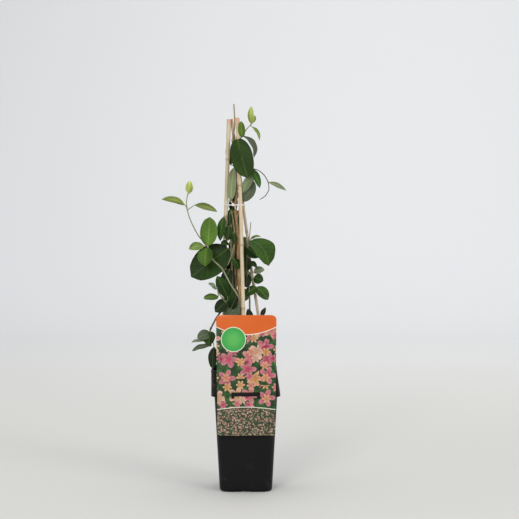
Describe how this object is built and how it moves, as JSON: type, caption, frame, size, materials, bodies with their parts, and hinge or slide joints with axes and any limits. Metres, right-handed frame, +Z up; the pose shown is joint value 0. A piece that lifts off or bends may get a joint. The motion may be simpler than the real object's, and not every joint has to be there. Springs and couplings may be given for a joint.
{
  "type": "potted climbing honeysuckle",
  "caption": "Honeysuckle vine with oval leaves climbing tied bamboo canes in a tall square black nursery pot with a hanging plant label.",
  "frame": {"origin": "centre of the pot's flat underside, on the surface it stands on", "axes": "+Z up along the canes, -Y towards the label side, +X to the right seen from the label side"},
  "size_m": [0.2066, 0.1216, 0.6431],
  "materials": {
    "pot_plastic": "satin",
    "potting_soil": "matte",
    "cane_front_bamboo": "satin",
    "cane_left_bamboo": "satin",
    "cane_right_bamboo": "satin",
    "white_string": "matte",
    "label_print": "satin",
    "vine_main_green": "satin",
    "vine_left_shoot_green": "satin",
    "vine_centre_green": "satin",
    "vine_right_green": "satin",
    "vine_low_left_green": "satin",
    "vine_rear_green": "satin"
  },
  "bodies": {
    "root": {"pot": "pot_plastic", "soil": "potting_soil", "cane_front": "cane_front_bamboo", "cane_left": "cane_left_bamboo", "cane_right": "cane_right_bamboo", "cane_tie": "white_string", "label_card": "label_print", "vine_main": "vine_main_green", "vine_left_shoot": "vine_left_shoot_green", "vine_centre": "vine_centre_green", "vine_right": "vine_right_green", "vine_low_left": "vine_low_left_green", "vine_rear": "vine_rear_green"}
  },
  "joints": []
}
